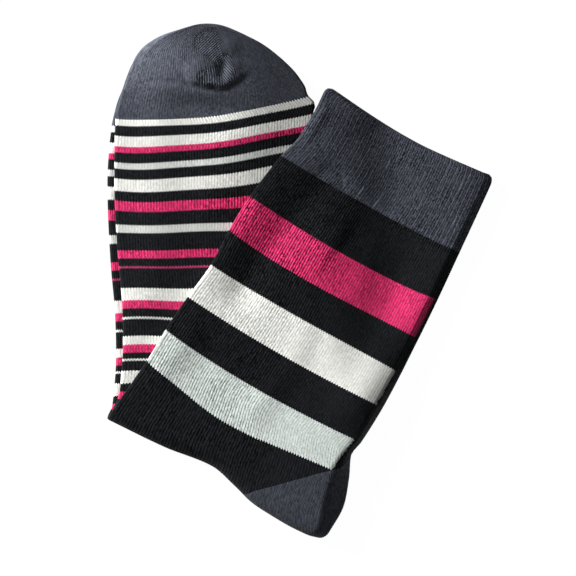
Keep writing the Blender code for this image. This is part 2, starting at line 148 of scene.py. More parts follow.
# The socks: the fold's radius, how far the rim is shifted and its bow lies back, the foot's shift, the ends
# of the course after the fold, how far the leg lies inside the outer one, and where its first wales show:
# 1 on the leg, -1 on the foot.
Sock = namedtuple(
    "Sock", "name radius cuff_step cuff_sag foot_step fold_front fold_back leg_inset has_side shown"
)
SOCKS = (
    Sock(
        name="outer", radius=OUTER_RADIUS, cuff_step=(0, 0), cuff_sag=0.0, foot_step=(-3.3, -5.9),
        fold_front=(-86.4, -58.9), fold_back=(10.5, -111.8), leg_inset=0.0, has_side=True, shown=1,
    ),
    Sock(
        name="inner", radius=OUTER_RADIUS - PITCH, cuff_step=(0.25, 0.4), cuff_sag=0.13, foot_step=(0, 0),
        fold_front=(-85.4, -58.4), fold_back=(7.2, -110.2), leg_inset=0.6, has_side=False, shown=-1,
    ),
)

# Stripes: where each begins along the sock, and its yarn, in three tables, as a colour ramp holds 32 stops.
LEG_STRIPES = (
    (0.0, "black"), (61.6, "pink"), (79.6, "black"), (95.8, "white"),
    (115.2, "black"), (133.8, "grey"), (153.2, "black"),
)
HEEL_END_STRIPES = (
    (187.0, "pink"), (191.2, "black"), (195.1, "white"), (200.8, "black"),
    (204.7, "pale"), (205.6, "black"), (209.0, "pink"), (212.0, "white"),
    (216.3, "black"), (223.4, "pale"), (224.3, "black"), (228.1, "pink"),
    (232.0, "white"), (237.7, "black"),
)
TOE_END_STRIPES = (
    (246.1, "rose"), (247.5, "black"), (250.7, "pink"), (255.0, "black"),
    (262.9, "pale"), (266.4, "black"), (272.8, "pink"), (277.5, "black"),
    (281.9, "white"), (287.8, "black"), (292.2, "pale"), (294.9, "black"),
    (299.4, "pink"), (302.6, "white"), (307.4, "black"), (311.5, "white"),
    (314.9, "black"),
)
STRIPES_END = 320.0
# Linear colours, and how lively each yarn is: how uneven its stitches are, and how dark the painted shade
# in its grooves.
YARNS = {
    "black": (0.0075, 0.0089, 0.0113, 1.9),
    "white": (0.89, 0.89, 0.84, 0.64),
    "pink": (0.80, 0.038, 0.168, 1.6),
    "rose": (0.44, 0.040, 0.125, 0.85),
    "grey": (0.69, 0.75, 0.71, 0.80),
    "pale": (0.72, 0.74, 0.70, 0.62),
    "charcoal": (0.059, 0.065, 0.083, 1.7),
    "rib": (0.059, 0.065, 0.084, 0.95),
}

# The three cloths: the yarn, none where the stripes say it, how strong and how short the dashes along a
# wale are, how much single stitches differ, and how dark the painted shade in the grooves is.
Look = namedtuple("Look", "name yarn dashes dash_rate grain grooved")
LOOKS = {
    "striped_knit": Look("Knit_striped", None, 0.30, 0.65, 0.50, 0.70),
    "charcoal_knit": Look("Knit_charcoal", "charcoal", 0.12, 0.65, 0.75, 0.12),
    "charcoal_rib": Look("Knit_rib", "rib", 0.52, 0.75, 0.30, 0.70),
}
# Patterns of uneven yarn: how fast each changes over and along the wales, its seed, detail and roughness,
# and how far from the middle its extremes lie. The dashes' rate along is each cloth's own.
Pattern = namedtuple("Pattern", "over along seed detail roughness spread")
DASHES = Pattern(7.31, None, 0.0, 1.0, 0.5, 0.18)
SLOTS = Pattern(5.77, 0.42, 9.0, 1.0, 0.5, 0.16)
FIBRES = Pattern(1.6, 0.9, 4.0, 3.0, 0.7, 0.16)
PATCHES = Pattern(0.075, 0.07, 5.0, 2.0, 0.5, 0.18)
STITCH_SEED, RAGGED_SEED = 3.0, (2.0, 9.0)

# A stitch's arms rise by this share of a course from the middle of a wale to its edges, and the groove
# there begins and is full at these shares of that way.
ARM_RISE, GROOVE_BEGINS, GROOVE_FULL = 0.65, 0.25, 0.90
# How the shade varies: with the fibres, more in some patches, less where stitches are drawn together or
# calm, down to the darkest; and with the loops, with painted shade where two loops meet, and with patches.
FIBRE_SHADE, PATCH_LIVELY, GATHER_LOSS, CALM_LOSS, DARKEST = 0.12, 0.25, 0.5, 0.55, 0.15
LOOP_SHADE, LOOP_LEAST, PATCH_SHADE = 0.14, 0.91, 0.05
# Painted shade in the grooves between wales: how dark it is at first, between the slots, where wales are
# drawn together, and at most.
GROOVE_SHADE, SLOT_LEAST, GATHER_GROOVE_SHADE, GROOVE_SHADE_MOST = 0.12, 0.60, 0.9, 0.95
# The fine relief: how round the yarn is, how far loops, dashes and fibres stand out, and how much flatter
# calm stitches and their slots are.
YARN_ROUND, LOOP_RELIEF, DASH_RELIEF, FIBRE_RELIEF, CALM_RELIEF, CALM_SLOTS = 0.6, 0.5, 0.25, 0.12, 0.4, 0.8
BUMP_STRENGTH, BUMP_METRES = 0.7, 0.00015
SPECULAR, ROUGHNESS, SHEEN, SHEEN_ROUGHNESS = 0.14, 0.80, 0.03, 0.5
# The dark back side's edge: how ragged it is, between which widths the stripes darken towards it, partly
# a ragged colour edge and partly painted shade where the cloth rolls over, by how much at least, and by how
# much more in some stitches.
RAGGED, FRINGE, FRINGE_LEAST, FRINGE_DIFFERS = 0.2, (0.3, 1.8), 0.45, 0.35

# The four pieces of a sock: their finish, and the sheet of cloth each was knitted as, flat, in metres.
Part = namedtuple("Part", "name slot flat area")
PARTS = (
    Part("body", "striped_knit", (0.192, 0.277), None),
    Part("heel", "charcoal_knit", (0.088, 0.077), 0.0043),
    Part("toe", "charcoal_knit", (0.178, 0.042), 0.0062),
    Part("cuff", "charcoal_rib", (0.176, 0.0373), None),
)

# Soft ridges and troughs of the cloth, in plan: the line, its height and half its width. The leg lies
# over the stacked feet in long waves along its wales.
Crease = namedtuple("Crease", "line height width")
LEG_CREASES = (
    Crease(((-3, 58), (-18, 37), (-25, 27), (-30, 17), (-37, 5)), 0.35, 4.5),
    Crease(((22, 53), (9, 41), (-3, 29), (-13, 17), (-20, 7), (-26, -4), (-32, -15)), -1.9, 8.5),
    Crease(((22, 27), (18, 20), (9, 9), (4, -2), (2, -25), (-4, -40), (-19, -56), (-28, -67)), 0.5, 6.5),
    Crease(((30, 31), (23, 20), (14, 9), (8, -2)), -0.36, 2.8),
    Crease(((38, 25), (32, 13), (27.5, 0), (24, -12)), 0.36, 5.5),
    Crease(((51, 24), (48, 12), (43, -5), (38, -17)), -0.2, 4.5),
    Crease(
        ((81, 64), (77, 49), (73, 34), (70, 17), (62, 0), (52, -16), (42, -33), (33, -51), (20, -70)),
        0.95, 11.0,
    ),
    Crease(((58, -8), (50, -20), (41, -33), (31, -51), (24, -63)), 0.9, 9.0),
    Crease(((-43, -14), (-52, -26), (-61, -39), (-69, -51)), 0.6, 5.5),
    Crease(((-36, -23), (-43, -37), (-50, -47)), -0.5, 6.0),
    Crease(((14, -17), (8, -29), (2, -43), (-11, -62), (-17, -72)), -0.20, 5.0),
    Crease(((36, 78), (40, 60), (41, 43), (35, 28)), -1.0, 11.0),
    Crease(((12, 84), (5, 71), (0, 60)), 1.0, 4.0),
)
FOOT_CREASES = (
    Crease(((-60, 124), (-64, 105), (-66, 85), (-65, 60), (-65, 20), (-67, -20), (-76, -54)), 1.0, 11.0),
    Crease(((-48, 124), (-46, 100), (-48, 78)), 2.2, 19.0),
    Crease(((-30, 75), (-33, 45), (-40, 10), (-52, -20)), 0.8, 16.0),
    Crease(((-42, 86), (-55, 90), (-67, 91), (-78, 89)), -0.30, 1.0),
    Crease(((-45.5, 104), (-41, 101.5), (-38, 98.5), (-35, 95)), -0.7, 1.1),
)
# A crease tapers off over this length at both ends, or over this share of its own length if that is less.
TAPER, TAPER_SHARE = 10.0, 0.4

# Low waves over the cloth between the creases, as the lengths of two crossed sines. The leg's directions
# are turned by its slant, given as a cosine and a sine.
Ripple = namedtuple("Ripple", "short slant long counter phase")
LEG_RIPPLE, FOOT_RIPPLE = Ripple(5.3, 19.0, 12.0, 25.0, 0.8), Ripple(7.0, 13.0, 9.5, 30.0, 0.0)
RIPPLE_HEIGHT, LEG_SLANT = 0.10, (0.866, 0.5)

# Where something comes in smoothly: its start, and over what distance.
Span = namedtuple("Span", "start over")
# The relief comes in from the edges and the fold, and the foot's creases from where the folded leg presses
# them flat. The upper leg is rounded down at the back edge.
LEG_IN_FROM_EDGE, LEG_IN_FROM_FOLD = Span(0.3, 4.7), 12.0
FOOT_IN_FROM_EDGE, FOOT_IN_FROM_FOLD, FOOT_PRESSED = 4.5, Span(192.0, 14.0), Span(1.0, 22.0)
BACK_ROUND, BACK_ROUND_DEPTH, BACK_ROUND_ENDS = 5.0, 1.1, Span(70.0, 25.0)

# Where the last stripe's strays come in and end, and a slow wave of the foot's courses over the wales.
STRAYS_IN, STRAYS_OUT = Span(139.0, 12.0), Span(162.0, 16.0)
COURSE_WAVE, COURSE_WAVES, COURSE_WAVE_IN = 0.22, (5.1, 23.0), Span(190.0, 20.0)

# Where stitches lie flatter and finer: on the outer leg over its back, past the cuff, and by the heel, and
# on the inner foot most at its front and on the toe cap.
OUTER_CALM, OUTER_PAST_CUFF = Span(0.30, 0.45), Span(CUFF_END, 4.0)
HEEL_CALM, HEEL_CALM_SHARE = Span(148.0, 10.0), 0.6
INNER_CALM, INNER_CALM_LOSS = 0.95, 0.40
INNER_LIVELY, TOE_CALM = Span(0.25, 0.4), Span(TOE_BEGINS, 2.0)

# Where the pile is lighter or darker: a painted highlight on the toe cap's front, on the side towards the
# light, and painted shade on its back; lighter along the cuff's end, and darker on the heel.
TOE_HIGHLIGHT, TOE_HIGHLIGHT_STRETCH, TOE_HIGHLIGHT_RADIUS, TOE_HIGHLIGHT_GAIN = (-66.0, 103.0), (1.0, 0.75), 17.0, 0.85
TOE_SHADE_FROM, TOE_SHADE_LOSS = Span(-36.0, 26.0), 0.48
CUFF_LINE_AT, CUFF_LINE_HALF, CUFF_LINE_GAIN, CUFF_LINE_OVER = 36.1, 0.8, 0.28, Span(0.25, 0.3)
HEEL_LOSS = 0.24

# The toe cap's pucker: a pocket whose lower lip overhangs, small puckers round its edge, by their height,
# number and phase, a pit in it, and knobs beside it.
POCKET, POCKET_RADIUS = np.array((-39.0, 108.0)), 20.0
PUCKERS = ((0.35, 9, 1), (0.25, 17, 0))
LIP_HALF, LIP_HEIGHT, LIP_UNDERCUT, LIP_FADES = 1.6, 1.2, 0.5, 7.0
LIP_LOW, LIP_SOFTER, LIP_SOFTER_SHARE = Span(0.52, 0.36), Span(-37.0, 9.0), 0.4
PIT, PIT_STRETCH, PIT_RADIUS, PIT_DEPTH = np.array((-35.1, 96.3)), (1.0, 0.6), 2.6, 1.7
Knob = namedtuple("Knob", "at height radius")
KNOBS = (Knob((-30.5, 96.5), 0.55, 3.4), Knob((-31.0, 107.0), 0.50, 3.8), Knob((-47.0, 95.0), 0.25, 4.5))
# Blocks where its wales are drawn together aslant: the middle, half sizes, slant in degrees, spacing, the
# side of the gore line it keeps to, and strength. They come in this fast from their edges, and the one
# before the line is cut off at a corner.
Gather = namedtuple("Gather", "at reach slant spacing side strength")
GATHERS = (
    Gather((-37.5, 92.6), (9.5, 5.0), 88.0, 1.1, 0, 0.35),
    Gather((-40.0, 106.3), (8.8, 9.0), 43.0, 0.92, -1, 1.0),
    Gather((-34.0, 96.0), (4.6, 8.0), -50.0, 0.98, 1, 1.0),
)
GATHER_FULL = 2.2
BLOCK_CORNER, BLOCK_ACROSS = np.array((-44.2, 103.1)), np.array((0.628, 0.778))
# The toe cap's gore line: the place along, and the wale that it runs on there.
TOE_GORE = (
    (322.0, 37.0), (328.5, 37.7), (334.5, 40.2), (340.5, 41.9),
    (346.5, 43.4), (351.5, 46.4), (354.5, 48.0), (356.5, 53.0),
)

# The photograph: its width in pixels, the pixel at the plan's zero, and a pixel's size at this height.
PHOTO_WIDTH, ZERO_PIXEL, PIXEL, PIXEL_HEIGHT = 576, (300.0, 280.5), 0.4554, 7.0
SENSOR, LENS = 36.0, 200.0
# The sun's strength, its width, height and bearing from +X in degrees, and the sky's strength.
SUN, SUN_WIDTH, SUN_HEIGHT, SUN_BEARING, SKY = 7.8, 18.0, 18.0, 148.0, 0.18
# The floor: its width and how far it is under the socks, in metres, its grey, roughness and glow.
FLOOR_SIZE, FLOOR_DROP, FLOOR_GREY, FLOOR_ROUGHNESS, FLOOR_GLOW = 6.0, 0.0003, 0.04, 0.9, 0.98


def smooth(x):
    """0 up to 0, 1 from 1 on, and a smooth step between."""
    x = np.clip(x, 0.0, 1.0)
    return x * x * (3 - 2 * x)


def through(places, values, at):
    """Smooth curve through values at places."""
    places, values = np.asarray(places, float), np.asarray(values, float)
    last = len(places) - 1
    i = np.clip(np.searchsorted(places, at, side="right"), 1, last)
    before, after = np.maximum(i - 2, 0), np.minimum(i + 1, last)
    x0, x1 = places[i - 1], places[i]
    wide = x1 - x0
    u = (at - x0) / wide
    lead, trail = wide / (x1 - places[before]), wide / (places[after] - x0)
    if values.ndim > 1:
        u, lead, trail = u[..., None], lead[..., None], trail[..., None]
    a, b = values[i - 1], values[i]
    leaving, arriving = (b - values[before]) * lead, (values[after] - a) * trail
    return (
        a * (1 + 2 * u) * (1 - u) ** 2
        + leaving * u * (1 - u) ** 2
        + b * u * u * (3 - 2 * u)
        + arriving * u * u * (u - 1)
    )


def table(rows, field):
    return [getattr(row, field) for row in rows]


def read(rows, at):
    """Smooth curve through a table of two columns, level past its ends."""
    places, values = zip(*rows)
    return through(places, values, np.clip(at, places[0], places[-1]))


def after(x, span):
    """0 before a span and 1 past it."""
    return smooth((x - span.start) / span.over)


def steepness(side):
    return smooth((side - SIDE_LEAST) / (SIDE_FULL - SIDE_LEAST))


def unit(v):
    return v / np.maximum(np.linalg.norm(v, axis=-1, keepdims=True), 1e-9)


def courses(sock, along):
    """Front and back ends, bow, place of the bow and side width of the courses at these places."""
    fold_ends = FOLD_BEGINS + math.pi * sock.radius
    at = np.clip(along, 0.0, FOLD_BEGINS)
    places = table(LEG, "along")
    front, back = through(places, table(LEG, "front"), at), through(places, table(LEG, "back"), at)
    side = through(places, table(LEG, "side"), at)
    near_rim = 1 - smooth(at / FOLD_BEGINS)
    bow = through(places, table(LEG, "bow"), at)
    bow_at = through(places, table(LEG, "bow_at"), at) + sock.cuff_sag * near_rim
    step = np.array(sock.cuff_step) * near_rim[..., None]
    row = unit(back - front)
    past_corner = 1 - np.clip(at / CUFF_CORNER, 0.0, 1.0)
    corner = CUFF_CORNER * (1 - np.sqrt(1 - past_corner**2)) * CORNER_INSET
    under = 0 * side if sock.has_side else (side + SIDE_CLEAR) * steepness(side)
    front = front + step + row * (sock.leg_inset + corner)[..., None]
    back = back + step - row * (sock.leg_inset + under + corner)[..., None]

    at = np.clip(along, fold_ends, TOE_TIP)
    places = [fold_ends] + table(FOOT, "along")
    falls = (np.array(table(FOOT, "along"))[:, None] - SHIFT_FALLS) / SHIFT_FALLS_OVER
    move = np.array(sock.foot_step) * (1 - SHIFT_LOSS * smooth(falls))
    fronts = np.vstack([sock.fold_front, np.array(table(FOOT, "front")) + move])
    backs = np.vstack([sock.fold_back, np.array(table(FOOT, "back")) + move])
    share = ((1 - np.cos(np.clip((along - FOLD_BEGINS) / sock.radius, 0, math.pi))) / 2)[..., None]
    front = front * (1 - share) + through(places, fronts, at) * share
    back = back * (1 - share) + through(places, backs, at) * share
    foot = along >= fold_ends
    bow = np.where(foot, -through(places, [0.0] + table(FOOT, "bow"), at), bow)
    bow_at = np.where(foot, through(places, [0.5] + table(FOOT, "bow_at"), at), bow_at)
    return front, back, bow, bow_at, np.where(foot, 0.0, side)


def width_at(sock, along):
    front, back, *_ = courses(sock, along)
    return np.linalg.norm(back - front, axis=-1)


def past_sole(plan):
    """How far a place lies past the feet's sole edge."""
    return plan[..., 0] - read(SOLE, plan[..., 1])


def bump(x, at):
    """A hump over 0 to 1 whose top, 1 high, is at this place."""
    return (x / at) ** (2 * at) * ((1 - x) / (1 - at)) ** (2 - 2 * at)


def middle(sock, along, across):
    """Points of the tube's middle surface."""
    front, back, bow, bow_at, side = courses(sock, along)
    row = back - front
    width = np.linalg.norm(row, axis=-1)
    # Level and square to the row, on its right as seen from above.
    from_row = unit(np.stack([row[..., 1], -row[..., 0]], axis=-1))
    inside = np.clip(across, 0.0, 1.0)
    plan = front + row * across[..., None] + from_row * (bow * bump(inside, bow_at))[..., None]
    out = read(FOLD_OUTLINE, (plan - FOLD_START) @ ALONG_FOLD)
    far = np.maximum(FOLD_BEGINS - along, along - FOLD_BEGINS - math.pi * OUTER_RADIUS)
    out = out * (1 - smooth(np.maximum(far, 0.0) / FOLD_REACH))
    plan = plan + OUT_OF_FOLD * out[..., None]

    u = np.clip((past_sole(plan) - SINK_BEGINS) / SINK_WIDTH, 0.0, 1.0)
    fading = smooth((FOLD_BEGINS - along) / SINK_FADES)
    slope = SINK_DEPTH * fading / SINK_WIDTH * 6 * u * (1 - u)
    above = FOLD_HEIGHT + OUTER_RADIUS - SINK_DEPTH * fading * smooth(u)
    above = above - (OUTER_RADIUS - sock.radius) * np.hypot(1, slope)
    fall = 0 * above
    if sock.has_side:
        past_ridge = np.maximum(1 - (1 - across) * width / np.maximum(side, SIDE_LEAST), 0.0)
        fall = np.hypot(past_ridge, SIDE_SOFTNESS) - SIDE_SOFTNESS
        fall = fall / (math.hypot(1, SIDE_SOFTNESS) - SIDE_SOFTNESS) * steepness(side)
    bottom = FOLD_HEIGHT - sock.radius
    fold_edge = bottom + 2 * sock.radius * (1 - HEEL_CLOSING)
    rising = smooth((along - RISE_BEGINS) / (FOLD_BEGINS - RISE_BEGINS))
    lower_edge = SIDE_FOOT + (fold_edge - SIDE_FOOT) * rising
    above = above - (above - lower_edge) * fall

    turned = np.clip((along - FOLD_BEGINS) / sock.radius, 0.0, math.pi)
    high = sock.radius * (1 - HEEL_CLOSING * fall)
    deep = sock.radius * (1 - HEEL_NARROWING * fall)
    plan = plan + OUT_OF_FOLD * (deep * np.sin(turned))[..., None]
    height = np.where(turned > 0, bottom + high * (1 + np.cos(turned)), above)
    return np.concatenate([plan, height[..., None]], axis=-1)


def normal(sock, along, across):
    """The middle surface's normal, up on the leg and down on the foot."""
    near, share = 0.05, 0.002
    down = middle(sock, along + near, across) - middle(sock, along - near, across)
    over = np.clip(across, share, 1 - share)
    row = middle(sock, along, over + share) - middle(sock, along, over - share)
    return unit(np.cross(row, -down))


def stadium(share, width, half):
    """(behind, height) on a pressed tube's outline, by the share of the way from front to back edge."""
    bend = 0.5 * math.pi * half
    t = share * (width - 2 * half + 2 * bend)
    flat = width - 2 * half
    early, late = np.minimum(t / half, math.pi / 2), np.clip((t - bend - flat) / half, 0, math.pi / 2)
    behind = half - half * np.cos(early) + np.clip(t - bend, 0, flat) + half * np.sin(late)
    return behind, half * np.sin(early) * np.cos(late)


def wales_shown(along):
    """Wales on the side that shows: the foot is laid down a little turned, round the ankle's fold."""
    return LEG_WALES + (FOOT_WALES - LEG_WALES) * smooth((along - TURN_BEGINS) / (TURN_ENDS - TURN_BEGINS))


def gauss(x):
    return np.exp(-x * x)


def crease(p, line, height, width):
    """Height of a soft ridge or trough along a line."""
    line = [np.array(point, float) for point in line]
    total = sum(np.linalg.norm(b - a) for a, b in zip(line, line[1:]))
    nearest, place, done = np.full(p.shape[:-1], 1e9), np.zeros(p.shape[:-1]), 0.0
    for a, b in zip(line, line[1:]):
        length = np.linalg.norm(b - a)
        t = np.clip((p - a) @ (b - a) / length**2, 0, 1)
        far = np.linalg.norm(p - a - t[..., None] * (b - a), axis=-1)
        place = np.where(far < nearest, done + t * length, place)
        nearest = np.minimum(nearest, far)
        done += length
    taper = min(TAPER, TAPER_SHARE * total)
    return height * gauss(nearest / width) * smooth(place / taper) * smooth((total - place) / taper)


def ripple(u, v, waves):
    """Height of the low waves of the cloth at a place given in two directions."""
    first = np.sin(u / waves.short + v / waves.slant + waves.phase)
    return RIPPLE_HEIGHT * first * np.sin(v / waves.long - u / waves.counter)


def leg_relief(p):
    """Height of the upper leg's soft waves over its smooth form."""
    x, y = p[..., 0], p[..., 1]
    cosine, sine = LEG_SLANT
    wave = ripple(x * cosine - y * sine, x * sine + y * cosine, LEG_RIPPLE)
    return wave + sum(crease(p, *c) for c in LEG_CREASES)


def toe_relief(p):
    """Height of the toe cap's gathered pocket with its overhanging lip, and of the pit in it."""
    d = p - POCKET
    far = np.linalg.norm(d, axis=-1)
    angle = np.arctan2(d[..., 1], d[..., 0])
    inside = POCKET_RADIUS - far
    for height, count, phase in PUCKERS:
        inside = inside + height * np.sin(angle * count + phase)
    lower = after(-d[..., 1] / np.maximum(far, 1e-6), LIP_LOW)
    lip = smooth((inside + LIP_HALF) / (2 * LIP_HALF))
    lip = lip * np.exp(-np.maximum(inside - LIP_HALF, 0) / LIP_FADES)
    under = gauss((inside + LIP_HALF) / LIP_HALF)
    pit = gauss(np.linalg.norm((p - PIT) * PIT_STRETCH, axis=-1) / PIT_RADIUS)
    knobs = sum(k.height * gauss(np.linalg.norm(p - k.at, axis=-1) / k.radius) for k in KNOBS)
    soft = 1 - LIP_SOFTER_SHARE * after(p[..., 0], LIP_SOFTER)
    return (LIP_HEIGHT * lip - LIP_UNDERCUT * under) * lower * soft - PIT_DEPTH * pit + knobs


def gathered(p, from_gore):
    """How much the stitches are drawn together about the pucker, and the slanting wales there."""
    near, slanting = np.zeros(p.shape[:-1]), np.zeros(p.shape[:-1])
    for block in GATHERS:
        far = np.linalg.norm((p - block.at) / block.reach, axis=-1)
        inside = (far < 1) & (from_gore * block.side >= 0)
        if block.side < 0:
            inside = inside & ((p - BLOCK_CORNER) @ BLOCK_ACROSS > 0)
        slant = math.radians(block.slant)
        thread = p @ np.array((-math.sin(slant), math.cos(slant))) / block.spacing
        near = np.where(inside, block.strength * smooth(GATHER_FULL * (1 - far)), near)
        slanting = np.where(inside, thread, slanting)
    return near, slanting


def calm(sock, along, share, heel):
    """How much flatter and finer the stitches lie than on the leg's front half."""
    if sock.name == "outer":
        over_back = after(share, OUTER_CALM) * after(along, OUTER_PAST_CUFF)
        return np.maximum(np.maximum(over_back, HEEL_CALM_SHARE * after(along, HEEL_CALM)), heel > 0)
    return INNER_CALM - INNER_CALM_LOSS * after(share, INNER_LIVELY) * (1 - after(along, TOE_CALM))


def painted_toe_light(p):
    """Painted light on the toe cap: a painted highlight at the front of the foot, towards the light, and
    painted shade at its back.
    """
    front = gauss(np.linalg.norm((p - TOE_HIGHLIGHT) * TOE_HIGHLIGHT_STRETCH, axis=-1) / TOE_HIGHLIGHT_RADIUS)
    return TOE_HIGHLIGHT_GAIN * front - TOE_SHADE_LOSS * after(p[..., 0], TOE_SHADE_FROM)


def leg_tone(along, share, heel):
    """How much lighter the pile is along the cuff's lower end, and how much darker on the heel."""
    cuff_line = CUFF_LINE_GAIN * gauss((along - CUFF_LINE_AT) / CUFF_LINE_HALF) * after(share, CUFF_LINE_OVER)
    return cuff_line - HEEL_LOSS * (heel > 0)


def foot_relief(p):
    """Height of the upper foot's soft waves and of the toe cap's pucker over its smooth form."""
    wave = ripple(p[..., 1], p[..., 0], FOOT_RIPPLE)
    high = sum(crease(p, *c) for c in FOOT_CREASES) * after(leg_edge_away(p), FOOT_PRESSED)
    return wave + high + toe_relief(p)


def leg_edge_away(p):
    """How far a place is from the folded leg's front edge, on the side where the foot shows."""
    start, end = np.array(LEG[0].front), np.array(LEG[-1].front)
    way = (end - start) / np.linalg.norm(end - start)
    return (p - start) @ np.array((way[1], -way[0]))


def wander(wale, along, seed):
    """A slow, small and repeatable irregularity, different for each wale."""
    golden_angle, slow, quick = 2.399, 7.3, 3.1
    phase = np.floor(wale) * golden_angle + seed
    far, near = np.sin(along / slow + 3 * np.sin(phase)), np.sin(along / quick + 5 * np.cos(phase))
    return 0.6 * far + 0.4 * near


def in_heel(along, over):
    """Above 0 in the heel pocket and below 0 outside it, at a share of the width from the front."""
    into = np.minimum(
        (along - HEEL_BEGINS) / (HEEL_POINT - HEEL_BEGINS),
        (HEEL_ENDS - along) / (HEEL_ENDS - HEEL_POINT),
    )
    return np.where(into > 0, read(GORE, into), into) - (1 - over)


def raised(sock, plan, along, behind, width, edge):
    """How far the upper side is lifted by its creases and waves."""
    if sock.name == "outer":
        lift = leg_relief(plan) * smooth((FOLD_BEGINS - along) / LEG_IN_FROM_FOLD)
        lift = lift * after(edge, LEG_IN_FROM_EDGE)
        rounding = 1 - np.clip((width - behind) / BACK_ROUND, 0, 1)
        return lift - BACK_ROUND_DEPTH * rounding**2 * (1 - after(along, BACK_ROUND_ENDS))
    lift = foot_relief(plan) * after(along, FOOT_IN_FROM_FOLD)
    return lift * smooth(edge / FOOT_IN_FROM_EDGE)


def knitted_at(along, wale, share):
    """The place along the sock that gives a stitch its yarn: the courses don't all lie as the rows do."""
    course = along - read(LIFTS, along) * 4 * share * (1 - share)
    course = course - read(LAST_STRAYS, share) * after(along, STRAYS_IN) * (1 - after(along, STRAYS_OUT))
    by_wale, by_length = COURSE_WAVES
    wave = COURSE_WAVE * np.sin(wale / by_wale + along / by_length)
    return course + wave * after(along, COURSE_WAVE_IN)


def grid(sock, rows, columns, rib, half, round_tip=False):
    """Points round the tube, rows by columns, and the values of each that UV_LAYERS lists."""
    along, wale = np.meshgrid(np.array(rows), np.array(columns), indexing="ij")
    shown = wales_shown(along)
    upper = wale <= shown
    share = np.where(upper, wale / shown, (WALES - wale) / (WALES - shown))
    width = width_at(sock, along)
    behind, height = stadium(share, width, np.full_like(width, half))
    edge = np.minimum(behind, width - behind)
    heel = in_heel(along, behind / width)
    near, thread = np.zeros_like(along), wale
    if sock.name == "inner":
        plan = middle(sock, along, behind / width)[..., :2]
        near, slanting = gathered(plan, wale - read(TOE_GORE, along))
        near = near * upper
        thread = np.where(near > 0, slanting, wale)
    drawn = np.where(near > 0, near, -calm(sock, along, share, heel))

    valley = 1 - np.abs(np.sin(math.pi * wale / rib.wales)) ** RIB_ROUND
    valley = valley * (1 - np.maximum(drawn, -RIB_FLATTENED * drawn))
    uneven = 1 + RIB_UNEVEN * wander(wale / rib.wales + 0.5, along, VALLEY_SEED)
    height = height * (1 - rib.depth * uneven * valley / half)
    if round_tip:
        height = height * np.sqrt(1 - ((along - (TOE_TIP - half)) / half).clip(0, 1) ** 2)
    aside = rib.wander * wander(np.round(wale / rib.wales), along, WANDER_SEED)
    behind = behind + aside * smooth(edge / RIB_EDGE)
    point = middle(sock, along, behind / width)
    n = normal(sock, along, behind / width)
    point = point + n * (height * np.where(upper, 1, -1) * sock.shown)[..., None]
    on_top = np.where(upper, np.clip(height / half, 0, 1), 0.0)
    point[..., 2] += raised(sock, point[..., :2], along, behind, width, edge) * on_top

    *_, side = courses(sock, np.minimum(along, FOLD_BEGINS))
    side = side * (1 - smooth((along - FOLD_BEGINS) / SIDE_FADES))
    ridge = width - behind - side
    # The toe cap gets painted highlight and painted shade; the leg gets a lighter cuff end and a darker
    # heel.
    if sock.name == "inner":
        tone_and_painted_light = painted_toe_light(point[..., :2]) * upper
    else:
        tone_and_painted_light = leg_tone(along, share, heel)
    values = np.stack([thread, knitted_at(along, wale, share), ridge, heel, tone_and_painted_light, drawn], axis=-1)
    return point - ORIGIN, values


def faces_round(n_rows, n_columns, flip):
    """Quads between the rows of a grid that closes round the tube."""
    i, j = np.meshgrid(np.arange(n_rows - 1), np.arange(n_columns), indexing="ij")
    a, b = i * n_columns + j, i * n_columns + (j + 1) % n_columns
    quads = np.stack([a, a + n_columns, b + n_columns, b], axis=-1).reshape(-1, 4)
    return quads[:, ::-1] if flip else quads


class Cloth:
    """A mesh in the making: points, the knit values of each, and faces."""

    def __init__(self, points=(), values=(), faces=()):
        self.points, self.values, self.faces = list(points), list(values), list(faces)

    def add(self, point, values):
        self.points.append(point)
        self.values.append(values)
        return len(self.points) - 1


def split(points, values, faces, side_of):
    """Cuts the faces where side_of changes sign, and gives the pieces with it below and above 0."""
    pieces = (Cloth(), Cloth())
    known = ({}, {})

    def old(which, n):
        if n not in known[which]:
            known[which][n] = pieces[which].add(points[n], values[n])
        return known[which][n]

    def new(which, n, m):
        key = (min(n, m), max(n, m))
        if key not in known[which]:
            n, m = key
            t = side_of[n] / (side_of[n] - side_of[m])
            mixed = [v[n] + (v[m] - v[n]) * t for v in (points, values)]
            known[which][key] = pieces[which].add(*mixed)
        return known[which][key]

    for face in faces:
        sides = [side_of[n] > 0 for n in face]
        if all(sides) or not any(sides):
            which = int(sides[0])
            pieces[which].faces.append([old(which, n) for n in face])
            continue
        for which in (0, 1):
            corners = []
            for n, m in zip(face, np.roll(face, -1)):
                n, m = int(n), int(m)
                if (side_of[n] > 0) == bool(which):
                    corners.append(old(which, n))
                if (side_of[n] > 0) != (side_of[m] > 0):
                    corners.append(new(which, n, m))
            if len(corners) > 2:
                pieces[which].faces.append(corners)
    return pieces


# Each point's values, two to a layer: the wale and the place along that gives it its yarn; how far it lies
# in front of the steep back side, and, fourth, above 0 in the heel pocket; how much lighter or darker its
# colour is, with painted highlight and painted shade on the toe cap, and how much its stitches are drawn
# together, or below 0 how calm they are.
UV_LAYERS = ("Knit", "Zone", "Tone_PaintedLight_Drawn")
HEEL_VALUE = 3


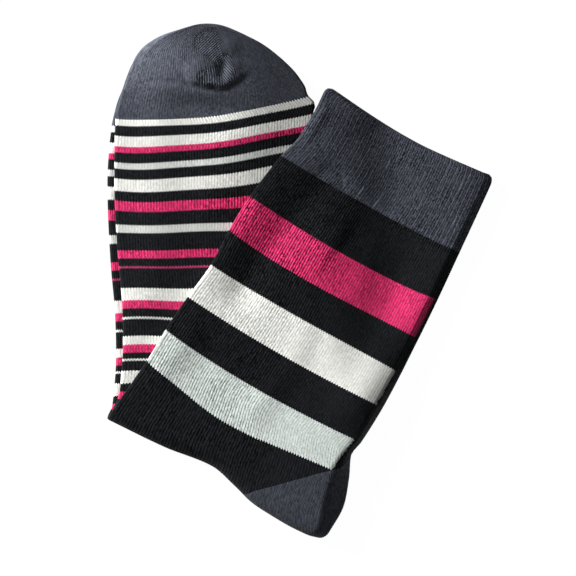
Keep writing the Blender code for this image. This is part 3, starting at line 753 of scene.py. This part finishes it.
def piece(sock, part, cloth, material):
    """A knitted shell that stands for its CAD node, in metres, with its values in UV layers."""
    name = f"knit_{sock.name}_{part.name}"
    mesh = bpy.data.meshes.new(name)
    mesh.from_pydata([tuple(np.array(p) / 1000) for p in cloth.points], [], cloth.faces)
    corner = np.empty(len(mesh.loops), np.int32)
    mesh.loops.foreach_get("vertex_index", corner)
    values = np.array(cloth.values, np.float32)
    for n, label in enumerate(UV_LAYERS):
        layer = mesh.uv_layers.new(name=label)
        layer.data.foreach_set("uv", values[corner, 2 * n : 2 * n + 2].ravel())
    mesh.shade_smooth()
    mesh.materials.append(material)
    obj = bpy.data.objects.new(name, mesh)
    bpy.context.scene.collection.objects.link(obj)
    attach(obj, "root")
    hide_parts(f"{sock.name}_{part.name}")


def steps(start, end, near):
    """Evenly spaced places from start to end, about this far apart."""
    return list(np.linspace(start, end, max(2, round((end - start) / near) + 1)))


def columns_round():
    """The wales on which the mesh's columns lie."""
    return steps(0, LEG_WALES, UPPER_COLUMN) + steps(LEG_WALES, WALES, LOWER_COLUMN)[1:-1]


def tube(sock, rows, round_tip=False):
    """Points, values and faces of a stretch of the knitted tube."""
    columns = columns_round()
    point, values = grid(sock, rows, columns, PLAIN, HALF_TUBE, round_tip)
    quads = faces_round(len(rows), len(columns), sock.shown < 0)
    return point.reshape(-1, 3), values.reshape(-1, values.shape[-1]), quads


def tube_pieces(sock):
    """The knitted tube from the cuff's end to the toe's tip, cut into its body, heel and toe."""
    rows = steps(CUFF_END, TURN_BEGINS, ROW)[:-1] + steps(TURN_BEGINS, TURN_ENDS, TURN_ROW)[:-1]
    points, values, quads = tube(sock, rows + steps(TURN_ENDS, TOE_BEGINS, ROW))
    body, heel = split(points, values, quads, values[:, HEEL_VALUE])

    tip = TOE_TIP - HALF_TUBE
    rows = steps(TOE_BEGINS, tip, TOE_ROW) + [tip + HALF_TUBE * share for share in TIP_ROWS]
    points, values, quads = tube(sock, rows, round_tip=True)
    cap = list(range(len(points) - len(columns_round()), len(points)))[:: sock.shown]
    return {"body": body, "heel": heel, "toe": Cloth(points, values, quads.tolist() + [cap])}


def cuff_cloth(sock):
    """The open ribbed cuff: outside, rim and inside of its wall."""
    rows, columns = RIM_ROWS + steps(CUFF_ROW, CUFF_END, CUFF_ROW), columns_round()
    outside = grid(sock, rows, columns, RIBBED, HALF_TUBE)
    inside = grid(sock, rows, columns, RIBBED._replace(depth=0.0), CUFF_HALF_SLIT)
    n = len(rows) * len(columns)
    points, values = (np.concatenate([a.reshape(n, -1), b.reshape(n, -1)]) for a, b in zip(outside, inside))
    quads = faces_round(len(rows), len(columns), sock.shown < 0)
    inner = quads[:, ::-1] + n
    ends = []
    last = n - len(columns)
    for j in range(len(columns)):
        k = (j + 1) % len(columns)
        ends.append([j, k, k + n, j + n])
        ends.append([k + last, j + last, j + last + n, k + last + n])
    if sock.shown < 0:
        ends = [quad[::-1] for quad in ends]
    return Cloth(points, values, quads.tolist() + inner.tolist() + ends)


class Nodes:
    """Short calls for building a material's nodes."""

    def __init__(self, name):
        self.material = bpy.data.materials.get(name) or bpy.data.materials.new(name)
        self.material.use_nodes = True
        self.tree = self.material.node_tree
        self.tree.nodes.clear()

    def add(self, kind, **settings):
        node = self.tree.nodes.new(kind)
        for key, value in settings.items():
            setattr(node, key, value)
        return node

    def put(self, socket, value):
        if isinstance(value, bpy.types.NodeSocket):
            self.tree.links.new(value, socket)
        else:
            socket.default_value = value

    def math(self, operation, *values):
        node = self.add("ShaderNodeMath", operation=operation)
        for socket, value in zip(node.inputs, values):
            self.put(socket, value)
        return node.outputs[0]

    def mix(self, factor, a, b):
        node = self.add("ShaderNodeMix", data_type="RGBA")
        self.put(node.inputs[0], factor)
        self.put(node.inputs[6], a)
        self.put(node.inputs[7], b)
        return node.outputs[2]

    def scaled(self, colour, factor):
        node = self.add("ShaderNodeVectorMath", operation="SCALE")
        self.put(node.inputs[0], colour)
        self.put(node.inputs["Scale"], factor)
        return node.outputs[0]

    def blend(self, factor, a, b):
        """What mix does for colours, for two numbers."""
        return self.math("MULTIPLY_ADD", factor, self.math("SUBTRACT", b, a), a)

    def vary(self, value, by, share):
        """The value, larger by a share of something, or smaller where the share is below 0."""
        return self.math("MULTIPLY", value, self.math("MULTIPLY_ADD", by, share, 1.0))

    def vector(self, x, y, z):
        node = self.add("ShaderNodeCombineXYZ")
        for socket, value in zip(node.inputs, (x, y, z)):
            self.put(socket, value)
        return node.outputs[0]

    def split(self, vector):
        node = self.add("ShaderNodeSeparateXYZ")
        self.put(node.inputs[0], vector)
        return node.outputs[0], node.outputs[1]

    def uv(self, name):
        return self.split(self.add("ShaderNodeUVMap", uv_map=name).outputs[0])

    def pattern(self, over, along, pattern, lowest=-1.0):
        """A pattern of uneven yarn, from its lowest value to 1."""
        across = self.math("MULTIPLY", over, pattern.over)
        down = self.math("MULTIPLY", along, pattern.along)
        node = self.add("ShaderNodeTexNoise", noise_dimensions="3D")
        self.put(node.inputs["Vector"], self.vector(across, down, pattern.seed))
        self.put(node.inputs["Scale"], 1.0)
        self.put(node.inputs["Detail"], pattern.detail)
        self.put(node.inputs["Roughness"], pattern.roughness)
        return self.between(node.outputs["Fac"], 0.5 - pattern.spread, 0.5 + pattern.spread, lowest, 1.0)

    def shader(self, roughness):
        """The surface's shader, joined to the material's output."""
        node, out = self.add("ShaderNodeBsdfPrincipled"), self.add("ShaderNodeOutputMaterial")
        self.put(node.inputs["Roughness"], roughness)
        self.put(out.inputs[0], node.outputs[0])
        return node

    def random(self, vector):
        node = self.add("ShaderNodeTexWhiteNoise", noise_dimensions="3D")
        self.put(node.inputs["Vector"], vector)
        return node.outputs["Value"]

    def between(self, value, low, high, to_low=0.0, to_high=1.0):
        node = self.add("ShaderNodeMapRange", clamp=True)
        for socket, v in zip(node.inputs, (value, low, high, to_low, to_high)):
            self.put(socket, v)
        return node.outputs[0]

    def ramp(self, value, stops):
        """The colour and the fourth value of the last stop that the value has passed."""
        node = self.add("ShaderNodeValToRGB")
        node.color_ramp.interpolation = "CONSTANT"
        elements = node.color_ramp.elements
        while len(elements) > 1:
            elements.remove(elements[-1])
        for n, (at, colour) in enumerate(stops):
            element = elements[0] if n == 0 else elements.new(at)
            element.position = at
            element.color = colour
        self.put(node.inputs[0], value)
        return node.outputs["Color"], node.outputs["Alpha"]


def stripes(k, along, rows, end):
    """Colour and unevenness of the yarn at a place along, from a table of stripes up to this end."""
    start = rows[0][0]
    stops = [((begins - start) / (end - start), YARNS[yarn]) for begins, yarn in rows]
    return k.ramp(k.between(along, start, end), stops)


# A point's wale and place along; how far across from the wale's middle it is; its course's number, how
# high on the loop and on which arm it is; and how much the stitches are drawn together or calm.
Place = namedtuple("Place", "wale along across number loop arm gather calmed")


def stitches(k):
    """Where a point lies in its stitch."""
    wale, along = k.uv("Knit")
    _, drawn = k.uv("Tone_PaintedLight_Drawn")
    across = k.math("ABSOLUTE", k.math("MULTIPLY_ADD", k.math("FRACT", wale), 2.0, -1.0))
    course = k.math("MULTIPLY_ADD", across, ARM_RISE, k.math("DIVIDE", along, COURSE))
    return Place(
        wale=wale,
        along=along,
        across=across,
        number=k.math("FLOOR", course),
        loop=k.math("SINE", k.math("MULTIPLY", k.math("FRACT", course), math.pi)),
        arm=k.math("FLOOR", k.math("MULTIPLY", wale, 2.0)),
        gather=k.math("MAXIMUM", drawn, 0.0),
        calmed=k.math("MAXIMUM", k.math("MULTIPLY", drawn, -1.0), 0.0),
    )


def striped_yarn(k, at, stitch):
    """Colour and unevenness of the striped yarn, which is black on the leg's steep back side."""
    foot_begins, toe_end_begins = HEEL_END_STRIPES[0][0], TOE_END_STRIPES[0][0]
    middle_of_course = k.math("MULTIPLY", k.math("ADD", at.number, 0.5), COURSE)
    colour, uneven = stripes(k, middle_of_course, LEG_STRIPES, foot_begins)
    for rows, end in ((HEEL_END_STRIPES, toe_end_begins), (TOE_END_STRIPES, STRIPES_END)):
        past = k.math("GREATER_THAN", middle_of_course, rows[0][0])
        later, later_uneven = stripes(k, middle_of_course, rows, end)
        colour, uneven = k.mix(past, colour, later), k.blend(past, uneven, later_uneven)

    ridge, _ = k.uv("Zone")
    on_leg = k.math("LESS_THAN", at.along, foot_begins)
    ragged = k.math("MULTIPLY_ADD", k.random(k.vector(at.number, *RAGGED_SEED)), 2 * RAGGED, -RAGGED)
    back_side = k.math("MULTIPLY", k.math("LESS_THAN", ridge, ragged), on_leg)
    # The stripes darken towards the back side: partly a ragged colour edge, partly painted shade where the
    # cloth rolls over.
    fringe = k.math("MULTIPLY_ADD", stitch, FRINGE_DIFFERS, FRINGE_LEAST)
    fringe = k.math("MULTIPLY", k.between(ridge, *FRINGE, 1.0, 0.0), fringe)
    fringe = k.math("MULTIPLY", fringe, on_leg)
    black = (*YARNS["black"][:3], 1.0)
    colour = k.mix(back_side, k.mix(fringe, colour, black), black)
    return colour, k.blend(back_side, uneven, YARNS["black"][3])


def knit(look):
    """Knitted cloth: columns of V stitches, yarn colours by course, fuzz, and grooves between wales with
    painted shade.
    """
    k = Nodes(look.name)
    at = stitches(k)
    stitch = k.random(k.vector(at.arm, at.number, STITCH_SEED))
    dash = k.pattern(at.arm, at.along, DASHES._replace(along=look.dash_rate))
    slot = k.pattern(k.math("FLOOR", k.math("ADD", at.wale, 0.5)), at.along, SLOTS, lowest=0.0)
    fibre = k.pattern(at.wale, at.along, FIBRES)
    patch = k.pattern(at.wale, at.along, PATCHES)
    if look.yarn:
        colour, uneven = YARNS[look.yarn][:3], YARNS[look.yarn][3]
    else:
        colour, uneven = striped_yarn(k, at, stitch)

    mottle = k.math("MULTIPLY", dash, look.dashes)
    mottle = k.math("MULTIPLY_ADD", k.math("SUBTRACT", stitch, 0.5), look.grain, mottle)
    mottle = k.math("MULTIPLY_ADD", fibre, FIBRE_SHADE, mottle)
    mottle = k.vary(mottle, at.gather, -GATHER_LOSS)
    livelier = k.vary(k.vary(uneven, patch, PATCH_LIVELY), at.calmed, -CALM_LOSS)
    shade = k.math("MAXIMUM", k.math("MULTIPLY_ADD", mottle, livelier, 1.0), DARKEST)

    # Painted shade darkens the grooves between the wales.
    groove = k.between(at.across, GROOVE_BEGINS, GROOVE_FULL)
    base = k.math("MULTIPLY_ADD", at.calmed, -GROOVE_SHADE, GROOVE_SHADE)
    deep = k.math("MULTIPLY_ADD", livelier, look.grooved, base)
    depth = k.math("MULTIPLY", k.math("MULTIPLY_ADD", slot, 1 - SLOT_LEAST, SLOT_LEAST), deep)
    depth = k.math("MAXIMUM", depth, k.math("MULTIPLY", at.gather, GATHER_GROOVE_SHADE))
    depth = k.math("MINIMUM", depth, GROOVE_SHADE_MOST)
    shade = k.vary(shade, k.math("MULTIPLY", groove, depth), -1.0)
    # Painted highlight on the wales' crests where they are drawn together.
    crest_highlight = k.math("SUBTRACT", 1.0, at.across)
    shade = k.vary(shade, k.math("MULTIPLY", crest_highlight, at.gather), 1.0)
    # Painted shade where the loops of two courses meet.
    shade = k.math("MULTIPLY", shade, k.math("MULTIPLY_ADD", at.loop, LOOP_SHADE, LOOP_LEAST))
    # Painted highlight and painted shade on the toe cap, and the lighter cuff end and darker heel, scale
    # the colour.
    tone_and_painted_light, _ = k.uv("Tone_PaintedLight_Drawn")
    shade = k.vary(k.vary(shade, patch, PATCH_SHADE), tone_and_painted_light, 1.0)

    limb = k.math("SINE", k.math("MULTIPLY", k.math("FRACT", k.math("MULTIPLY", at.wale, 2.0)), math.pi))
    loop = k.math("MULTIPLY_ADD", at.loop, LOOP_RELIEF, 1 - LOOP_RELIEF)
    relief = k.math("MULTIPLY", k.math("POWER", limb, YARN_ROUND), loop)
    relief = k.vary(relief, at.calmed, -CALM_RELIEF)
    relief = k.math("MULTIPLY_ADD", dash, DASH_RELIEF, relief)
    relief = k.math("MULTIPLY_ADD", fibre, FIBRE_RELIEF, relief)
    slots = k.vary(slot, at.calmed, -CALM_SLOTS)
    relief = k.math("SUBTRACT", relief, k.math("MULTIPLY", groove, slots))
    bumps = k.add("ShaderNodeBump")
    k.put(bumps.inputs["Height"], relief)
    k.put(bumps.inputs["Strength"], BUMP_STRENGTH)
    k.put(bumps.inputs["Distance"], BUMP_METRES)

    shader = k.shader(ROUGHNESS)
    k.put(shader.inputs["Base Color"], k.scaled(colour, shade))
    k.put(shader.inputs["Normal"], bumps.outputs[0])
    k.put(shader.inputs["Specular IOR Level"], k.math("MULTIPLY", shade, SPECULAR))
    k.put(shader.inputs["Sheen Weight"], SHEEN)
    k.put(shader.inputs["Sheen Roughness"], SHEEN_ROUGHNESS)
    return k.material


def build():
    """The four knitted pieces of both socks."""
    materials = {slot: knit(look) for slot, look in LOOKS.items()}
    for sock in SOCKS:
        made = tube_pieces(sock)
        made["cuff"] = cuff_cloth(sock)
        for part in PARTS:
            piece(sock, part, made[part.name], materials[part.slot])


def floor():
    """A pale floor that throws no light on the socks."""
    bpy.ops.mesh.primitive_plane_add(size=FLOOR_SIZE, location=(0, 0, -FLOOR_DROP))
    plane = bpy.context.object
    plane.name = "floor"
    k = Nodes("Floor")
    shader = k.shader(FLOOR_ROUGHNESS)
    k.put(shader.inputs["Base Color"], (FLOOR_GREY, FLOOR_GREY, FLOOR_GREY, 1))
    k.put(shader.inputs["Specular IOR Level"], 0.0)
    k.put(shader.inputs["Emission Color"], (1, 1, 1, 1))
    k.put(shader.inputs["Emission Strength"], FLOOR_GLOW)
    plane.data.materials.append(k.material)
    plane.visible_diffuse = False
    plane.visible_shadow = False


def light():
    """A soft sun from the upper left and a dim white sky."""
    world = bpy.data.worlds.new("Studio")
    world.use_nodes = True
    background = world.node_tree.nodes["Background"]
    background.inputs[0].default_value = (1, 1, 1, 1)
    background.inputs[1].default_value = SKY
    bpy.context.scene.world = world
    sun = bpy.data.lights.new("key", "SUN")
    sun.energy = SUN
    sun.angle = math.radians(SUN_WIDTH)
    key = bpy.data.objects.new("key", sun)
    tilt = math.pi / 2 - math.radians(SUN_HEIGHT)
    key.rotation_euler = (tilt, 0, math.radians(SUN_BEARING) + math.pi / 2)
    bpy.context.scene.collection.objects.link(key)


def camera():
    """A camera straight above, which sees what the photograph shows."""
    scene = bpy.context.scene
    data = bpy.data.cameras.new("camera")
    data.sensor_width = SENSOR
    data.lens = LENS
    data.clip_start = 0.01
    data.clip_end = 20
    eye = bpy.data.objects.new("camera", data)
    centre = PHOTO_WIDTH / 2
    x, y = np.array((centre - ZERO_PIXEL[0], ZERO_PIXEL[1] - centre)) * PIXEL - ORIGIN[:2]
    z = PHOTO_WIDTH * PIXEL * LENS / SENSOR + PIXEL_HEIGHT
    eye.location = (x / 1000, y / 1000, z / 1000)
    scene.collection.objects.link(eye)
    scene.camera = eye
    scene.view_settings.view_transform = "Standard"
    scene.view_settings.look = "None"


build()
floor()
light()
camera()
bpy.context.view_layer.update()
